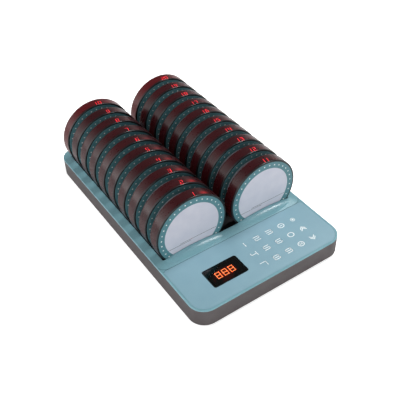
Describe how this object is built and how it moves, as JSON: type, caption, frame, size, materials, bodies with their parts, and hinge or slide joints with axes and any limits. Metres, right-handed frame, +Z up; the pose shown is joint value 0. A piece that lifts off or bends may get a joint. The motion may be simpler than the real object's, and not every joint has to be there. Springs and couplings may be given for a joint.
{
  "type": "guest pager system",
  "caption": "Restaurant guest pager set: round pagers stand on edge in two rows of a charging base with a touch keypad and lit display.",
  "frame": {"origin": "on the table, at the middle of the base's footprint, level with the bottoms of the rubber feet", "axes": "+Z up, +Y from the keypad towards the back of the rows, +X to the right seen from the keypad"},
  "size_m": [0.215, 0.357, 0.1059],
  "materials": {
    "tub_grey": "moulded ABS, fine satin grain",
    "cover_teal": "moulded ABS, satin gloss",
    "panel_teal": "printed polycarbonate overlay, satin",
    "smoked_window": "smoked acrylic, polished",
    "display_body": "black moulded plastic",
    "lit_segments": "lit orange red segments",
    "circuit_board": "green solder mask",
    "shield_can": "tinned steel",
    "ribbon": "grey flat cable",
    "contact_brass": "plated spring strip",
    "tray_black": "black moulded ABS",
    "foot_rubber": "matt rubber",
    "screw_steel": "zinc plated",
    "pager_smoke": "smoky translucent polycarbonate",
    "pager_works": "board with battery, motor and number"
  },
  "bodies": {
    "base": {"base_tub": "tub_grey", "top_cover": "cover_teal", "keypad_panel": "panel_teal", "display_window": "smoked_window", "display_module": "display_body", "display_segments": "lit_segments", "touch_board": "circuit_board", "main_board": "circuit_board", "radio_module": "shield_can", "antenna": "circuit_board", "buzzer": "display_body", "ribbon_cable": "ribbon", "charging_board": "circuit_board", "charging_contacts": "contact_brass", "charging_tray": "tray_black", "power_inlet": "display_body", "rubber_feet": "foot_rubber", "case_screws": "screw_steel"},
    "pager_01": {"pager_01_case": "pager_smoke", "pager_01_works": "pager_works"},
    "pager_02": {"pager_02_case": "pager_smoke", "pager_02_works": "pager_works"},
    "pager_03": {"pager_03_case": "pager_smoke", "pager_03_works": "pager_works"},
    "pager_04": {"pager_04_case": "pager_smoke", "pager_04_works": "pager_works"},
    "pager_05": {"pager_05_case": "pager_smoke", "pager_05_works": "pager_works"},
    "pager_06": {"pager_06_case": "pager_smoke", "pager_06_works": "pager_works"},
    "pager_07": {"pager_07_case": "pager_smoke", "pager_07_works": "pager_works"},
    "pager_08": {"pager_08_case": "pager_smoke", "pager_08_works": "pager_works"},
    "pager_09": {"pager_09_case": "pager_smoke", "pager_09_works": "pager_works"},
    "pager_10": {"pager_10_case": "pager_smoke", "pager_10_works": "pager_works"},
    "pager_11": {"pager_11_case": "pager_smoke", "pager_11_works": "pager_works"},
    "pager_12": {"pager_12_case": "pager_smoke", "pager_12_works": "pager_works"},
    "pager_13": {"pager_13_case": "pager_smoke", "pager_13_works": "pager_works"},
    "pager_14": {"pager_14_case": "pager_smoke", "pager_14_works": "pager_works"},
    "pager_15": {"pager_15_case": "pager_smoke", "pager_15_works": "pager_works"},
    "pager_16": {"pager_16_case": "pager_smoke", "pager_16_works": "pager_works"},
    "pager_17": {"pager_17_case": "pager_smoke", "pager_17_works": "pager_works"},
    "pager_18": {"pager_18_case": "pager_smoke", "pager_18_works": "pager_works"},
    "pager_19": {"pager_19_case": "pager_smoke", "pager_19_works": "pager_works"},
    "pager_20": {"pager_20_case": "pager_smoke", "pager_20_works": "pager_works"}
  },
  "joints": [
    {"name": "pager_01_lift", "type": "slide", "parent": "base", "child": "pager_01", "axis": [0, 0, 1], "range_m": [0, 0.1]},
    {"name": "pager_02_lift", "type": "slide", "parent": "base", "child": "pager_02", "axis": [0, 0, 1], "range_m": [0, 0.1]},
    {"name": "pager_03_lift", "type": "slide", "parent": "base", "child": "pager_03", "axis": [0, 0, 1], "range_m": [0, 0.1]},
    {"name": "pager_04_lift", "type": "slide", "parent": "base", "child": "pager_04", "axis": [0, 0, 1], "range_m": [0, 0.1]},
    {"name": "pager_05_lift", "type": "slide", "parent": "base", "child": "pager_05", "axis": [0, 0, 1], "range_m": [0, 0.1]},
    {"name": "pager_06_lift", "type": "slide", "parent": "base", "child": "pager_06", "axis": [0, 0, 1], "range_m": [0, 0.1]},
    {"name": "pager_07_lift", "type": "slide", "parent": "base", "child": "pager_07", "axis": [0, 0, 1], "range_m": [0, 0.1]},
    {"name": "pager_08_lift", "type": "slide", "parent": "base", "child": "pager_08", "axis": [0, 0, 1], "range_m": [0, 0.1]},
    {"name": "pager_09_lift", "type": "slide", "parent": "base", "child": "pager_09", "axis": [0, 0, 1], "range_m": [0, 0.1]},
    {"name": "pager_10_lift", "type": "slide", "parent": "base", "child": "pager_10", "axis": [0, 0, 1], "range_m": [0, 0.1]},
    {"name": "pager_11_lift", "type": "slide", "parent": "base", "child": "pager_11", "axis": [0, 0, 1], "range_m": [0, 0.1]},
    {"name": "pager_12_lift", "type": "slide", "parent": "base", "child": "pager_12", "axis": [0, 0, 1], "range_m": [0, 0.1]},
    {"name": "pager_13_lift", "type": "slide", "parent": "base", "child": "pager_13", "axis": [0, 0, 1], "range_m": [0, 0.1]},
    {"name": "pager_14_lift", "type": "slide", "parent": "base", "child": "pager_14", "axis": [0, 0, 1], "range_m": [0, 0.1]},
    {"name": "pager_15_lift", "type": "slide", "parent": "base", "child": "pager_15", "axis": [0, 0, 1], "range_m": [0, 0.1]},
    {"name": "pager_16_lift", "type": "slide", "parent": "base", "child": "pager_16", "axis": [0, 0, 1], "range_m": [0, 0.1]},
    {"name": "pager_17_lift", "type": "slide", "parent": "base", "child": "pager_17", "axis": [0, 0, 1], "range_m": [0, 0.1]},
    {"name": "pager_18_lift", "type": "slide", "parent": "base", "child": "pager_18", "axis": [0, 0, 1], "range_m": [0, 0.1]},
    {"name": "pager_19_lift", "type": "slide", "parent": "base", "child": "pager_19", "axis": [0, 0, 1], "range_m": [0, 0.1]},
    {"name": "pager_20_lift", "type": "slide", "parent": "base", "child": "pager_20", "axis": [0, 0, 1], "range_m": [0, 0.1]}
  ]
}
